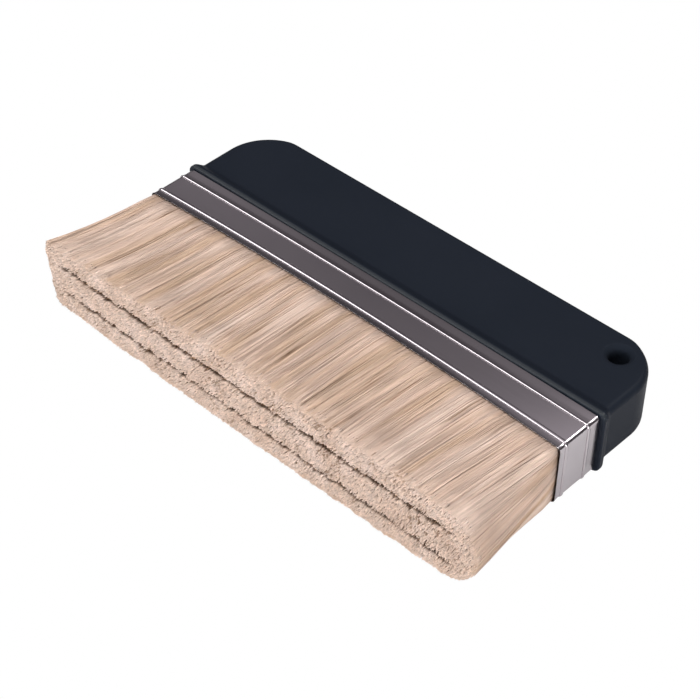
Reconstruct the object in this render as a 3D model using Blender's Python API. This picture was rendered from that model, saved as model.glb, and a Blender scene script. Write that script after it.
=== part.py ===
"""A wide flat application brush: three rows of natural bristle in a beaded steel ferrule, on a black handle.

Metres, +Z up. Every piece is drawn in brush coordinates: x from the middle of the ferrule, y from
the ferrule's mouth towards the handle (the bristles point to -Y), z from the ferrule's middle plane.
An empty named brush_frame then sets the brush down flat, its footprint centred on the world origin.
"""

import math

import bmesh
import bpy

MM = 0.001

# Ferrule: one strip of sheet steel, rolled into a flat tube with two raised beads.
FERRULE_WIDTH = 252 * MM
FERRULE_THICKNESS = 32 * MM
FERRULE_DEPTH = 27 * MM
FERRULE_CORNER = 2.0 * MM
SHEET = 0.6 * MM
MOUTH_BOW_UP = 3.7 * MM  # how far the packed bristles push the mouth's long sides out
MOUTH_BOW_DOWN = 3.0 * MM
HEEL_BOW = 1.2 * MM
BEAD_PLACES = (4.9 * MM, 19.7 * MM)
BEAD_WIDTH = 1.9 * MM
BEAD_HEIGHT = 0.5 * MM

# Clearance between pieces that touch on the real brush.
FIT = 0.3 * MM

# Handle: one solid moulding, with a tenon in the ferrule and a lip behind it.
HANDLE_REACH = 51.5 * MM  # from the ferrule's rear edge to the handle's back
HANDLE_WIDER = 0.2 * MM  # each end of the handle, past the ferrule's end
HANDLE_THINNER = 0.65 * MM  # each broad face of the handle, below the ferrule's face
HANDLE_SECTION_CORNER = 3.5 * MM
HANDLE_PLAN_CORNER = 25 * MM
HANDLE_BACK_EDGE = 2 * MM
LIP_PROUD_SIDEWAYS = 2.2 * MM
LIP_PROUD_UPWARDS = 1.9 * MM
LIP_PROFILE = ((0, 0.7), (0.9, 1), (2.4, 1), (3.6, 0.86), (5, 0.45), (6.5, 0.12), (8, 0))  # mm back, share
TENON_LENGTH = 10 * MM
TENON_END_WALL = 12 * MM
TENON_BROAD_WALL = 6 * MM
TENON_RECESS_DEPTH = 6 * MM
HANG_HOLE_RADIUS = 5 * MM
HANG_HOLE_RIM = 3 * MM
HANG_HOLE_FROM_SIDE = 19.4 * MM
HANG_HOLE_FROM_BACK = 12.9 * MM

# Inside the ferrule: resin behind the bristles' butt ends, and two strips that part the rows.
RESIN_THICKNESS = 3.4 * MM
MIDDLE_ROOT_THICKNESS = 8.4 * MM
STRIP_THICKNESS = 2.6 * MM
STRIP_END_GAP = 11.4 * MM  # from each end of a strip to the ferrule's inner face
STRIP_RECESS = 2 * MM
STRIP_IN_RESIN = 1.7 * MM

# Bristles. Each row is a fixed root and a free part that turns on a knuckle just outside the mouth.
PACK_SIDE_GAP = 1.2 * MM
BRISTLE_OUT = 62 * MM  # from the ferrule's mouth to the tips
HINGE_OUT = 4 * MM
KNUCKLE_LIP = 0.65 * MM  # how far a root stands above its knuckle
SEAT_HALF_ANGLE = 60
ROW_SLIT = 1.2 * MM  # between two rows at their tips
FLARE_POWER = 1.2
FLARES = {"upper": (7 * MM, 1.5 * MM), "middle": (5 * MM, 7 * MM), "lower": (3 * MM, 4 * MM)}

# The four lines across the tips: height in the middle, tilt to the right, and bend at the sides. The outer
# two are measured from the ferrule's top and bottom faces, the slits from its middle plane.
TIP_TOP = (3.5 * MM, 0, -3.3 * MM)
TIP_UPPER_SLIT = (6.5 * MM, -1.5 * MM, 1 * MM)
TIP_LOWER_SLIT = (-9 * MM, -3.2 * MM, 0.3 * MM)
TIP_BOTTOM = (-3.5 * MM, -2.6 * MM, 2.5 * MM)

# How finely curves are cut into flat faces.
CORNER_STEPS = 4
LONG_SIDE_STEPS = 12
BEAD_STEPS = 5
PLAN_CORNER_STEPS = 6
BACK_EDGE_STEPS = 3
ROW_STEPS = 12
ROW_LENGTH_STEPS = 3
KNUCKLE_STEPS = 8
SEAT_STEPS = 6
HOLE_STEPS = 28
RIM_STEPS = 4

# What follows from the sizes above.
TENON_FRONT = FERRULE_DEPTH - TENON_LENGTH
RESIN_REAR = TENON_FRONT - FIT
RESIN_FRONT = RESIN_REAR - RESIN_THICKNESS
ROOT_REAR = RESIN_FRONT - FIT
LIP_FRONT = FERRULE_DEPTH + FIT
HANDLE_BACK = FERRULE_DEPTH + HANDLE_REACH
HANDLE_HALF_WIDTH = FERRULE_WIDTH / 2 + HANDLE_WIDER
HANDLE_HALF_THICKNESS = FERRULE_THICKNESS / 2 - HANDLE_THINNER
TENON_RECESS_HALF_WIDTH = FERRULE_WIDTH / 2 - SHEET - FIT - TENON_END_WALL
TENON_RECESS_HALF_HEIGHT = FERRULE_THICKNESS / 2 - SHEET - FIT - TENON_BROAD_WALL
PACK_HALF_WIDTH = FERRULE_WIDTH / 2 - SHEET - PACK_SIDE_GAP
STRIP_HALF_WIDTH = FERRULE_WIDTH / 2 - SHEET - STRIP_END_GAP
FERRULE_INNER_HALF = FERRULE_THICKNESS / 2 - SHEET
STRIP_CENTRE = MIDDLE_ROOT_THICKNESS / 2 + FIT + STRIP_THICKNESS / 2
OUTER_ROOT_START = STRIP_CENTRE + STRIP_THICKNESS / 2 + FIT
OUTER_ROOT_THICKNESS = FERRULE_INNER_HALF - FIT - OUTER_ROOT_START
OUTER_AXIS = OUTER_ROOT_START + OUTER_ROOT_THICKNESS / 2


def clear_scene():
    for thing in list(bpy.data.objects):
        bpy.data.objects.remove(thing)


def make_material(name, colour, roughness, metallic=0.0):
    material = bpy.data.materials.new(name)
    material.use_nodes = True
    shader = material.node_tree.nodes["Principled BSDF"]
    shader.inputs["Base Color"].default_value = (*colour, 1)
    shader.inputs["Roughness"].default_value = roughness
    shader.inputs["Metallic"].default_value = metallic
    return material


def add_object(name, mesh, material, parent, place=(0, 0, 0)):
    piece = bpy.data.objects.new(name, mesh)
    piece.location = place
    piece.parent = parent
    mesh.materials.append(material)
    bpy.context.scene.collection.objects.link(piece)
    return piece


def mesh_from_loops(name, loops, ring=False):
    """A closed mesh through loops of equal length. Its two ends are capped, or meet as a ring."""
    shape = bmesh.new()
    rows = [[shape.verts.new(point) for point in loop] for loop in loops]
    count = len(rows[0])
    last = len(rows) if ring else len(rows) - 1
    for index in range(last):
        here, there = rows[index], rows[(index + 1) % len(rows)]
        for k in range(count):
            after = (k + 1) % count
            shape.faces.new((here[k], here[after], there[after], there[k]))
    if not ring:
        shape.faces.new(rows[0])
        shape.faces.new(rows[-1])
    bmesh.ops.recalc_face_normals(shape, faces=shape.faces)
    mesh = bpy.data.meshes.new(name)
    shape.to_mesh(mesh)
    shape.free()
    mesh.shade_smooth()
    mesh.set_sharp_from_angle(angle=math.radians(35))
    return mesh


def box_mesh(name, low, high):
    corners = ((low[0], low[2]), (high[0], low[2]), (high[0], high[2]), (low[0], high[2]))
    return mesh_from_loops(name, [[(x, y, z) for x, z in corners] for y in (low[1], high[1])])


def combine(piece, helper, operation):
    """Cuts the helper from the piece, or joins it to the piece, and leaves the helper out of the model."""
    modifier = piece.modifiers.new(f"{operation.lower()}_{helper.name}", "BOOLEAN")
    modifier.operation = operation
    modifier.solver = "EXACT"
    modifier.object = helper
    helper.hide_render = True
    helper.display_type = "WIRE"


def outline(half_width, half_height, corner, bow_up=0.0, bow_down=0.0):
    """A rounded rectangle as (x, z) points, whose long sides bow outwards by a parabola."""
    points = []
    for side_x, side_z, start in ((1, 1, 0), (-1, 1, 90), (-1, -1, 180), (1, -1, 270)):
        for step in range(CORNER_STEPS + 1):
            angle = math.radians(start + 90 * step / CORNER_STEPS)
            x = side_x * (half_width - corner) + corner * math.cos(angle)
            z = side_z * (half_height - corner) + corner * math.sin(angle)
            points.append((x, z))
        if side_x == side_z:
            straight = half_width - corner
            for step in range(1, LONG_SIDE_STEPS):
                share = 1 - 2 * step / LONG_SIDE_STEPS
                points.append((side_x * share * straight, side_z * half_height))
    bowed = []
    for x, z in points:
        swell = 1 - (x / half_width) ** 2
        bowed.append((x, z + swell * (bow_up if z > 0 else -bow_down)))
    return bowed


def bow_at(y, mouth_bow):
    """The ferrule's bow, which falls evenly from its mouth to its rear edge."""
    share = max(y, 0) / FERRULE_DEPTH
    return mouth_bow + (HEEL_BOW - mouth_bow) * share


def ferrule_loop(y, grow):
    """The ferrule's outer outline at y, moved outwards by grow."""
    corner = max(FERRULE_CORNER + grow, 0.3 * MM)
    points = outline(
        FERRULE_WIDTH / 2 + grow,
        FERRULE_THICKNESS / 2 + grow,
        corner,
        bow_at(y, MOUTH_BOW_UP),
        bow_at(y, MOUTH_BOW_DOWN),
    )
    return [(x, y, z) for x, z in points]


def bead_profile(place, base):
    """(y, grow) points over one half-round bead, from its front to its rear."""
    profile = []
    for step in range(BEAD_STEPS + 1):
        angle = math.pi * (1 - step / BEAD_STEPS)
        y = place + BEAD_WIDTH / 2 * math.cos(angle)
        profile.append((y, base + BEAD_HEIGHT * math.sin(angle)))
    return profile


def add_ferrule(frame, material):
    outside = [(0, 0), *bead_profile(BEAD_PLACES[0], 0), *bead_profile(BEAD_PLACES[1], 0)]
    outside.append((FERRULE_DEPTH, 0))
    inside = [(y, grow - SHEET) for y, grow in reversed(outside)]
    loops = [ferrule_loop(y, grow) for y, grow in outside + inside]
    add_object("ferrule", mesh_from_loops("ferrule", loops, ring=True), material, frame)


def handle_half_width(y):
    """Half the handle's width at y, with round corners at the back as seen from above."""
    into_corner = y - (HANDLE_BACK - HANDLE_PLAN_CORNER)
    if into_corner <= 0:
        return HANDLE_HALF_WIDTH
    chord = math.sqrt(max(HANDLE_PLAN_CORNER**2 - into_corner**2, 0))
    return HANDLE_HALF_WIDTH - HANDLE_PLAN_CORNER + chord


def handle_half_height(y):
    """Half the handle's thickness at y, with a rounded edge at the back."""
    into_edge = y - (HANDLE_BACK - HANDLE_BACK_EDGE)
    if into_edge <= 0:
        return HANDLE_HALF_THICKNESS
    chord = math.sqrt(max(HANDLE_BACK_EDGE**2 - into_edge**2, 0))
    return HANDLE_HALF_THICKNESS - HANDLE_BACK_EDGE + chord


def handle_loops():
    tenon_base = -SHEET - FIT
    loops = [ferrule_loop(TENON_FRONT, tenon_base)]
    loops += [ferrule_loop(y, grow) for y, grow in bead_profile(BEAD_PLACES[1], tenon_base)]
    loops.append(ferrule_loop(LIP_FRONT, tenon_base))
    for back_mm, share in LIP_PROFILE:
        y = LIP_FRONT + back_mm * MM
        half_width = HANDLE_HALF_WIDTH + share * LIP_PROUD_SIDEWAYS
        half_height = HANDLE_HALF_THICKNESS + share * LIP_PROUD_UPWARDS
        loops.append([(x, y, z) for x, z in outline(half_width, half_height, HANDLE_SECTION_CORNER)])
    corner_start = HANDLE_BACK - HANDLE_PLAN_CORNER
    edge_start = HANDLE_BACK - HANDLE_BACK_EDGE
    places = {corner_start}
    for step in range(1, PLAN_CORNER_STEPS):
        turn = math.radians(90 * step / PLAN_CORNER_STEPS)
        y = corner_start + HANDLE_PLAN_CORNER * math.sin(turn)
        if y < edge_start:
            places.add(y)
    for step in range(BACK_EDGE_STEPS + 1):
        turn = math.radians(90 * step / BACK_EDGE_STEPS)
        places.add(edge_start + HANDLE_BACK_EDGE * math.sin(turn))
    for y in sorted(places):
        points = outline(handle_half_width(y), handle_half_height(y), HANDLE_SECTION_CORNER)
        loops.append([(x, y, z) for x, z in points])
    return loops


def hang_hole_mesh():
    """A turned cutter for the hang hole, flared at both faces so that the rims come out round."""
    face = HANDLE_HALF_THICKNESS
    beyond = 2 * MM
    profile = [(HANG_HOLE_RADIUS + HANG_HOLE_RIM, face + beyond)]
    for step in range(RIM_STEPS + 1):
        turn = math.radians(90 * step / RIM_STEPS)
        radius = HANG_HOLE_RADIUS + HANG_HOLE_RIM * (1 - math.sin(turn))
        profile.append((radius, face - HANG_HOLE_RIM * (1 - math.cos(turn))))
    profile += [(radius, -z) for radius, z in reversed(profile)]
    loops = []
    for radius, z in profile:
        turns = [2 * math.pi * step / HOLE_STEPS for step in range(HOLE_STEPS)]
        loops.append([(radius * math.cos(turn), radius * math.sin(turn), z) for turn in turns])
    return mesh_from_loops("hang_hole_cutter", loops)


def add_handle(frame, material):
    handle = add_object("handle", mesh_from_loops("handle", handle_loops()), material, frame)
    hole_place = (HANDLE_HALF_WIDTH - HANG_HOLE_FROM_SIDE, HANDLE_BACK - HANG_HOLE_FROM_BACK, 0)
    hole = add_object("hang_hole_cutter", hang_hole_mesh(), material, frame, hole_place)
    combine(handle, hole, "DIFFERENCE")
    half_width, half_height = TENON_RECESS_HALF_WIDTH, TENON_RECESS_HALF_HEIGHT
    low = (-half_width, TENON_FRONT - FIT, -half_height)
    high = (half_width, TENON_FRONT + TENON_RECESS_DEPTH, half_height)
    recess = add_object("tenon_recess_cutter", box_mesh("tenon_recess_cutter", low, high), material, frame)
    combine(handle, recess, "DIFFERENCE")


def strip_box(side, spare):
    """The corners of the strip above (side 1) or below (side -1) the middle row, grown by spare."""
    half_width = STRIP_HALF_WIDTH + spare
    half_height = STRIP_THICKNESS / 2 + spare
    centre = side * STRIP_CENTRE
    rear = RESIN_FRONT + STRIP_IN_RESIN + spare
    return (-half_width, STRIP_RECESS, centre - half_height), (half_width, rear, centre + half_height)


def add_resin(frame, material):
    """The resin plug, with a tongue that fills the tenon's recess and slots that hold the strips."""
    loops = [ferrule_loop(y, -SHEET - FIT) for y in (RESIN_FRONT, RESIN_REAR)]
    resin = add_object("resin_heel", mesh_from_loops("resin_heel", loops), material, frame)
    half_width, half_height = TENON_RECESS_HALF_WIDTH - FIT, TENON_RECESS_HALF_HEIGHT - FIT
    low = (-half_width, (RESIN_FRONT + RESIN_REAR) / 2, -half_height)
    high = (half_width, TENON_FRONT + TENON_RECESS_DEPTH - FIT, half_height)
    tongue = add_object("resin_tongue", box_mesh("resin_tongue", low, high), material, frame)
    combine(resin, tongue, "UNION")
    for side, word in ((1, "upper"), (-1, "lower")):
        name = f"strip_slot_{word}"
        slot = add_object(name, box_mesh(name, *strip_box(side, FIT)), material, frame)
        combine(resin, slot, "DIFFERENCE")


def add_strips(frame, material):
    for side, word in ((1, "upper"), (-1, "lower")):
        name = f"filler_strip_{word}"
        add_object(name, box_mesh(name, *strip_box(side, 0)), material, frame)


def root_face(word, y, x, facing):
    """Height of a root's top (facing 1) or underside (facing -1) at x and y."""
    if word == "middle":
        return facing * MIDDLE_ROOT_THICKNESS / 2
    row_side = 1 if word == "upper" else -1
    if facing != row_side:
        return row_side * OUTER_ROOT_START
    mouth_bow = MOUTH_BOW_UP if word == "upper" else MOUTH_BOW_DOWN
    swell = 1 - (2 * x / FERRULE_WIDTH) ** 2
    return row_side * (FERRULE_INNER_HALF - FIT + swell * bow_at(y, mouth_bow))


def knuckle(word):
    """(height of the hinge axis, knuckle radius) of a row."""
    if word == "middle":
        return 0, MIDDLE_ROOT_THICKNESS / 2 - KNUCKLE_LIP
    radius = OUTER_ROOT_THICKNESS / 2 - KNUCKLE_LIP
    return (OUTER_AXIS if word == "upper" else -OUTER_AXIS), radius


def add_root(word, frame, material):
    """The part of a row that the resin holds. Its front is hollowed as a seat for the knuckle."""
    axis, radius = knuckle(word)
    seat = radius + FIT
    loops = []
    for step in range(ROW_STEPS + 1):
        x = PACK_HALF_WIDTH * (2 * step / ROW_STEPS - 1)
        loop = []
        for turn in range(SEAT_STEPS + 1):
            angle = math.radians(SEAT_HALF_ANGLE * (1 - 2 * turn / SEAT_STEPS))
            loop.append((x, seat * math.cos(angle) - HINGE_OUT, axis + seat * math.sin(angle)))
        front = -HINGE_OUT + seat * math.cos(math.radians(SEAT_HALF_ANGLE))
        for y, facing in ((front, -1), (ROOT_REAR, -1), (ROOT_REAR, 1), (front, 1)):
            loop.append((x, y, root_face(word, y, x, facing)))
        loops.append(loop)
    name = f"bristle_root_{word}"
    add_object(name, mesh_from_loops(name, loops), material, frame)


def line_at(line, side):
    """Height of a line across the tips, with side from -1 at the left to 1 at the right."""
    middle, tilt, bend = line
    return middle + tilt * side + bend * side**2


def tip_faces(word, side):
    """Heights of a row's underside and top at its tips."""
    half_slit = ROW_SLIT / 2
    upper_slit, lower_slit = line_at(TIP_UPPER_SLIT, side), line_at(TIP_LOWER_SLIT, side)
    if word == "upper":
        return upper_slit + half_slit, FERRULE_THICKNESS / 2 + line_at(TIP_TOP, side)
    if word == "middle":
        return lower_slit + half_slit, upper_slit - half_slit
    return line_at(TIP_BOTTOM, side) - FERRULE_THICKNESS / 2, lower_slit - half_slit


def add_row(word, frame, material):
    """The free part of a row. Its object's origin is on its hinge axis."""
    axis, radius = knuckle(word)
    length = BRISTLE_OUT - HINGE_OUT
    flare_left, flare_right = FLARES[word]
    loops = []
    for step in range(ROW_STEPS + 1):
        side = 2 * step / ROW_STEPS - 1
        root_x = side * PACK_HALF_WIDTH
        flare = (flare_right * (1 + side) - flare_left * (1 - side)) / 2
        low, high = tip_faces(word, side)
        loop = []
        for turn in range(KNUCKLE_STEPS + 1):
            angle = math.radians(90 - 180 * turn / KNUCKLE_STEPS)
            loop.append((root_x, radius * math.cos(angle), radius * math.sin(angle)))
        steps_out = [(index, low - axis, -radius) for index in range(1, ROW_LENGTH_STEPS + 1)]
        steps_back = [(index, high - axis, radius) for index in range(ROW_LENGTH_STEPS, 0, -1)]
        for index, tip_z, start_z in steps_out + steps_back:
            share = index / ROW_LENGTH_STEPS
            x = root_x + flare * share**FLARE_POWER
            loop.append((x, -share * length, start_z + share * (tip_z - start_z)))
        loops.append(loop)
    name = f"bristle_row_{word}"
    add_object(name, mesh_from_loops(name, loops), material, frame, (0, -HINGE_OUT, axis))


def set_down(frame):
    """Moves the frame so that the brush stands on z = 0 with its footprint centred on the origin."""
    corners = [
        [value + shift for value, shift in zip(vertex.co, piece.location)]
        for piece in frame.children
        if not piece.hide_render
        for vertex in piece.data.vertices
    ]
    low = [min(corner[axis] for corner in corners) for axis in range(3)]
    high = [max(corner[axis] for corner in corners) for axis in range(3)]
    frame.location = (-(low[0] + high[0]) / 2, -(low[1] + high[1]) / 2, -low[2])


def build():
    clear_scene()
    black_plastic = make_material("black_plastic", (0.017, 0.023, 0.029), 0.42)
    plated_steel = make_material("plated_steel", (0.62, 0.58, 0.59), 0.25, metallic=1.0)
    amber_resin = make_material("amber_resin", (0.42, 0.24, 0.08), 0.35)
    pale_wood = make_material("pale_wood", (0.62, 0.45, 0.28), 0.6)
    bristle = make_material("bristle", (0.69, 0.53, 0.40), 0.55)
    frame = bpy.data.objects.new("brush_frame", None)
    bpy.context.scene.collection.objects.link(frame)
    add_handle(frame, black_plastic)
    add_ferrule(frame, plated_steel)
    add_resin(frame, amber_resin)
    add_strips(frame, pale_wood)
    for word in ("upper", "middle", "lower"):
        add_root(word, frame, bristle)
        add_row(word, frame, bristle)
    set_down(frame)


build()
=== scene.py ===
"""The looks of a wide flat application brush: black handle, beaded metal ferrule, three rows of hog bristle.

Metres, +Z up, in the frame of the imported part. Each section makes one piece of the brush and says what
carries it.
"""

import math

import bmesh
import bpy
import numpy as np
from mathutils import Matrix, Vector


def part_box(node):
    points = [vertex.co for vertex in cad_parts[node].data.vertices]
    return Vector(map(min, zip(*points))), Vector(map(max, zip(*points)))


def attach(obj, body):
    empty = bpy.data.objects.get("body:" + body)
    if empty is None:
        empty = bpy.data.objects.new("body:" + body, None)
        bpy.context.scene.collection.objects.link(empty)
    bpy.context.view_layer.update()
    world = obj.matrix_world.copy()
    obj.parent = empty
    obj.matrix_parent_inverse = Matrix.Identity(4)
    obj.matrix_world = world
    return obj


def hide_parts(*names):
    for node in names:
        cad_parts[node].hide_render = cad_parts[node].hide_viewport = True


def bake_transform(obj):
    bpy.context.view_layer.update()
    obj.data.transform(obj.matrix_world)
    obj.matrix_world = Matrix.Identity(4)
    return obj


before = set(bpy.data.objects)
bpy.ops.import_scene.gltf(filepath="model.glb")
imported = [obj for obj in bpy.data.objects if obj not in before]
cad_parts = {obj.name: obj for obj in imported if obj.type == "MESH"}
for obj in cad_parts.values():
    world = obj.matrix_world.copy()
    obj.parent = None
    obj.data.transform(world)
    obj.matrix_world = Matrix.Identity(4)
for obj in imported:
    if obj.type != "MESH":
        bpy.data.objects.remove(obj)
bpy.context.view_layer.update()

# ---------------------------------------------------------------------------------------------------------
# Studio: a white table, a big softbox high on the left that draws the bright lines along the beads, a soft
# lamp overhead, weaker fills all round, a grey room for the metal to mirror, and a long lens from the front
# right. Nothing here belongs to the brush.
# ---------------------------------------------------------------------------------------------------------
CAMERA_PLACE = (0.47826, -0.52945, 0.63426)  # from the brush's own origin
CAMERA_TURN = (48.07, -1.215, 42.876)
CAMERA_LENS = 107.56
FLOOR_HALF = 4.0
FLOOR_DROP = 0.0008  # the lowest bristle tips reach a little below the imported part
FLOOR_GREY, FLOOR_GREY_MIRRORED = 0.8, 0.6
ROOM_UPWARDS = (  # a direction's z, and how bright the room is there
    (0.0, 0.05), (0.44, 0.06), (0.52, 0.13), (0.57, 0.23), (0.66, 0.12), (0.71, 0.3), (0.76, 0.55),
    (1.0, 0.45),
)
ROOM_ACROSS = (  # a direction's x, moved to 0 to 1, and a share of ROOM_STRENGTH
    (0.0, 0.62), (0.19, 0.76), (0.215, 0.98), (0.248, 0.62), (0.285, 0.5), (0.32, 0.84), (0.36, 0.7),
)
ROOM_STRENGTH, ROOM_GREEN = 1.6, 0.93

scene = bpy.context.scene
scene.view_settings.view_transform = "Standard"
scene.view_settings.look = "None"

camera_data = bpy.data.cameras.new("camera")
camera_data.lens = CAMERA_LENS
camera_data.sensor_width = 36
camera_data.clip_start = 0.01
camera = bpy.data.objects.new("camera", camera_data)
camera.rotation_euler = [math.radians(turn) for turn in CAMERA_TURN]
scene.collection.objects.link(camera)
scene.camera = camera


def add_node(tree, kind, links=None, values=None, **settings):
    """One node of a tree, with its settings, the values of its inputs, and what feeds them."""
    node = tree.nodes.new(kind)
    for name, value in settings.items():
        setattr(node, name, value)
    for name, value in (values or {}).items():
        node.inputs[name].default_value = value
    for name, source in (links or {}).items():
        tree.links.new(source, node.inputs[name])
    return node


def new_material(name):
    """(material, its node tree, its surface shader)"""
    material = bpy.data.materials.new(name)
    material.use_nodes = True
    return material, material.node_tree, material.node_tree.nodes["Principled BSDF"]


def soft_lamp(name, place, aim, width, height, watts):
    """A rectangular softbox at a place, turned towards its aim."""
    lamp = bpy.data.lights.new(name, "AREA")
    lamp.shape = "RECTANGLE"
    lamp.size, lamp.size_y = width, height
    lamp.energy = watts
    holder = bpy.data.objects.new(name, lamp)
    holder.location = place
    holder.rotation_euler = (Vector(aim) - Vector(place)).to_track_quat("-Z", "Y").to_euler()
    scene.collection.objects.link(holder)
    return holder


white_table, tree, shader = new_material("white_table")
shader.inputs["Roughness"].default_value = 0.9
shader.inputs["Specular IOR Level"].default_value = 0.0
ray = add_node(tree, "ShaderNodeLightPath")
white = add_node(tree, "ShaderNodeEmission", values={"Color": (1, 1, 1, 1), "Strength": 1.0})
either = add_node(tree, "ShaderNodeMixShader", {
    "Fac": ray.outputs["Is Camera Ray"], 1: shader.outputs["BSDF"], 2: white.outputs["Emission"],
})
cloth = add_node(tree, "ShaderNodeMix", {"Factor": ray.outputs["Is Glossy Ray"]}, data_type="RGBA")
cloth.inputs["A"].default_value = (FLOOR_GREY, FLOOR_GREY, FLOOR_GREY, 1)
cloth.inputs["B"].default_value = (FLOOR_GREY_MIRRORED, FLOOR_GREY_MIRRORED, FLOOR_GREY_MIRRORED, 1)
tree.links.new(cloth.outputs["Result"], shader.inputs["Base Color"])
tree.links.new(either.outputs["Shader"], tree.nodes["Material Output"].inputs["Surface"])
floor_mesh = bpy.data.meshes.new("floor")
corners = [(x * FLOOR_HALF, y * FLOOR_HALF, 0) for x, y in ((-1, -1), (1, -1), (1, 1), (-1, 1))]
floor_mesh.from_pydata(corners, [], [(0, 1, 2, 3)])
floor_mesh.materials.append(white_table)
floor = bpy.data.objects.new("floor", floor_mesh)
floor.location.z = -FLOOR_DROP
scene.collection.objects.link(floor)

world = bpy.data.worlds.new("studio")
world.use_nodes = True
tree = world.node_tree
direction = add_node(tree, "ShaderNodeTexCoord").outputs["Generated"]
direction = add_node(tree, "ShaderNodeSeparateXYZ", {"Vector": direction})
sideways = add_node(
    tree, "ShaderNodeMath", {0: direction.outputs["X"]}, {1: 0.5, 2: 0.5}, operation="MULTIPLY_ADD"
)
upwards = add_node(tree, "ShaderNodeValToRGB", {"Fac": direction.outputs["Z"]})
across = add_node(tree, "ShaderNodeValToRGB", {"Fac": sideways.outputs["Value"]})
for ramp, levels, green in ((upwards, ROOM_UPWARDS, ROOM_GREEN), (across, ROOM_ACROSS, 1)):
    for index, (place, level) in enumerate(levels):
        stops = ramp.color_ramp.elements
        stop = stops[index] if index < 2 else stops.new(place)
        stop.position = place
        stop.color = (level, level * green, level, 1)
strength = add_node(
    tree, "ShaderNodeMath", {0: across.outputs["Color"]}, {1: ROOM_STRENGTH}, operation="MULTIPLY"
)
tree.links.new(upwards.outputs["Color"], tree.nodes["Background"].inputs["Color"])
tree.links.new(strength.outputs["Value"], tree.nodes["Background"].inputs["Strength"])
scene.world = world

soft_lamp("bead_softbox", (-0.72, -0.12, 1.2), (0, 0, 0.02), 0.7, 0.85, 7)
soft_lamp("overhead", (0.1, -0.5, 1.3), (0, -0.02, 0.02), 0.7, 0.5, 8.5)
front_fill = soft_lamp("front_fill", (0.1, -1.3, 0.45), (0, -0.05, 0.02), 0.8, 0.5, 12)
front_fill.visible_glossy = False  # so that the ferrule doesn't mirror it in views from behind
soft_lamp("right_fill", (1.2, -0.35, 0.4), (0.1, -0.03, 0.02), 0.5, 0.4, 10)
soft_lamp("corner_card", (0.35, 0.9, 1.15), (0, 0, 0.02), 0.5, 0.3, 4)

# ---------------------------------------------------------------------------------------------------------
# Handle: one solid moulding in black satin plastic. Its tenon is pushed into the ferrule's rear, its lip
# stands proud behind the ferrule, and a hang hole with a flared rim goes through its right rear corner.
# ---------------------------------------------------------------------------------------------------------
MM = 0.001
SHEET = 0.6
FERRULE_CORNER = 2.0
FERRULE_DEPTH = 27.0
MOUTH_BOW_UP, MOUTH_BOW_DOWN, HEEL_BOW = 3.7, 3.0, 1.2
BEAD_PLACES = (4.9, 19.6)
BEAD_HALF_WIDTHS, BEAD_HEIGHT = (1.05, 0.75), 0.5
MOUTH_SKEW = -0.005  # the mouth's edge isn't quite square to the brush
FERRULE_HALF_WIDTH, FERRULE_HALF_THICKNESS = 126.0, 16.0
TENON_FRONT = FERRULE_DEPTH - 10
TENON_CLEARANCE = 0.3
HANDLE_HALF_WIDTH, HANDLE_HALF_THICKNESS = 126.2, 15.35
HANDLE_BACK = 78.5
HANDLE_SECTION_CORNER, HANDLE_PLAN_CORNER, HANDLE_BACK_EDGE = 3.5, 25.0, 2.0
LIP_FRONT, LIP_SIDEWAYS, LIP_UPWARDS = 27.3, 2.2, 1.9
LIP_ROUND, LIP_FRONT_SHARE = 0.9, 0.62  # depth of its rounded front, and how far its front face stands out
LIP_CREST, LIP_FALL = 2.2, 5.8  # where it starts to fall behind its front, and over what distance
# where the band behind the lip's front begins and fades: lower roughness there, and a painted highlight in
# its colour
LIP_POLISH_AND_HIGHLIGHT_FROM, LIP_POLISH_AND_HIGHLIGHT_FADE = 1.6, 0.8
HOLE_RADIUS, HOLE_RIM, HOLE_FROM_SIDE, HOLE_FROM_BACK = 5.0, 3.0, 19.4, 12.9
HOLE_DULL, HOLE_SATIN = 1.9, 2.4  # distances outside its bore, where the moulding is dull and satin

# The brush's own axes: x from the ferrule's middle, y from its mouth to the handle, z from its middle plane.
ferrule_low, ferrule_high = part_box("ferrule")
root_low, root_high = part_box("bristle_root_middle")
BRUSH_ORIGIN = Vector(((ferrule_low.x + ferrule_high.x) / 2, ferrule_low.y, (root_low.z + root_high.z) / 2))
camera.location = BRUSH_ORIGIN + Vector(CAMERA_PLACE)


def outline(half_width, half_height, corner, bow_up=0.0, bow_down=0.0, corner_steps=8, long_steps=48):
    """A rounded rectangle as (x, z) points, anticlockwise, whose long sides bow outwards by a parabola."""
    points = []
    for side_x, side_z, start in ((1, 1, 0), (-1, 1, 90), (-1, -1, 180), (1, -1, 270)):
        for step in range(corner_steps + 1):
            angle = math.radians(start + 90 * step / corner_steps)
            x = side_x * (half_width - corner) + corner * math.cos(angle)
            points.append((x, side_z * (half_height - corner) + corner * math.sin(angle)))
        if side_x == side_z:
            straight = half_width - corner
            for step in range(1, long_steps):
                share = 1 - 2 * step / long_steps
                points.append((side_x * share * straight, side_z * half_height))
    bowed = []
    for x, z in points:
        swell = max(1 - (x / half_width) ** 2, 0)
        bowed.append((x, z + swell * (bow_up if z > 0 else -bow_down)))
    return bowed


def bow_at(y, mouth_bow):
    return mouth_bow + (HEEL_BOW - mouth_bow) * max(y, 0) / FERRULE_DEPTH


def ferrule_loop(y, grow):
    """The ferrule's outer outline at y, moved outwards by grow."""
    points = outline(
        FERRULE_HALF_WIDTH + grow,
        FERRULE_HALF_THICKNESS + grow,
        max(FERRULE_CORNER + grow, 0.3),
        bow_at(y, MOUTH_BOW_UP),
        bow_at(y, MOUTH_BOW_DOWN),
    )
    skew = MOUTH_SKEW * (1 - y / FERRULE_DEPTH)
    return [(x, y + skew * x, z) for x, z in points]


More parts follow.
